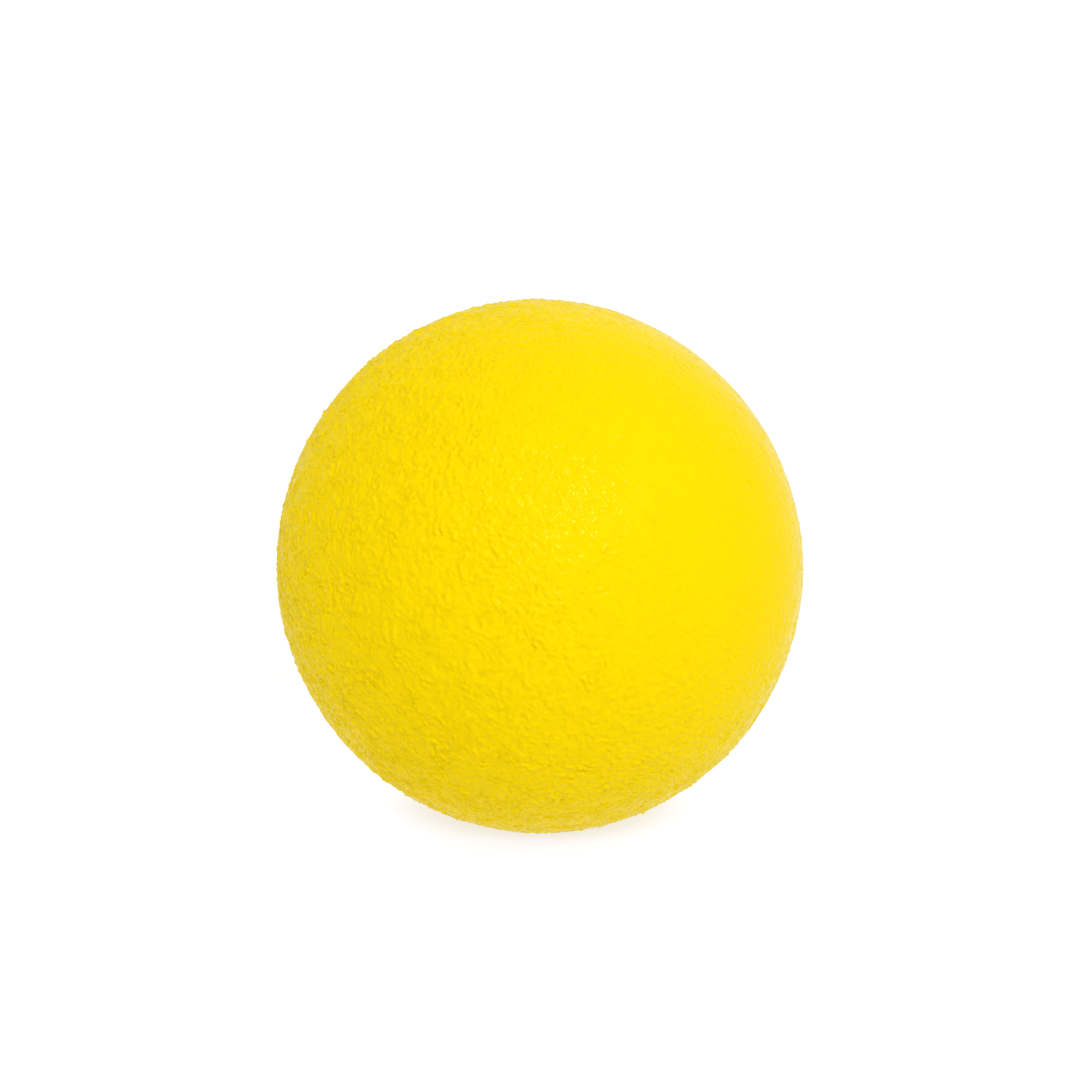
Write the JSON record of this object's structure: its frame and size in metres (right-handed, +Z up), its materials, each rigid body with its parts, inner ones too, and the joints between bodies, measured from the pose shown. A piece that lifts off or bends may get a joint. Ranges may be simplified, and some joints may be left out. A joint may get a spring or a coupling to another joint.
{
  "type": "playground ball",
  "caption": "Soft round play ball: a foam core under a sealing coat and a wrinkled, satin yellow elastomer skin, for throwing, catching and dodging games.",
  "frame": {"origin": "centre of the ball", "axes": "+Z up as the ball rests on a floor; the ball is alike about every axis"},
  "size_m": [0.2159, 0.2158, 0.216],
  "materials": {
    "foam": "matt open-cell polyurethane foam, cream",
    "clear_coat": "unpigmented polyurethane elastomer, milky and satin",
    "yellow_skin": "yellow polyurethane elastomer, satin, with a fine leathery wrinkle"
  },
  "bodies": {
    "root": {"foam_core": "foam", "base_coat": "clear_coat", "skin": "yellow_skin"}
  },
  "joints": []
}
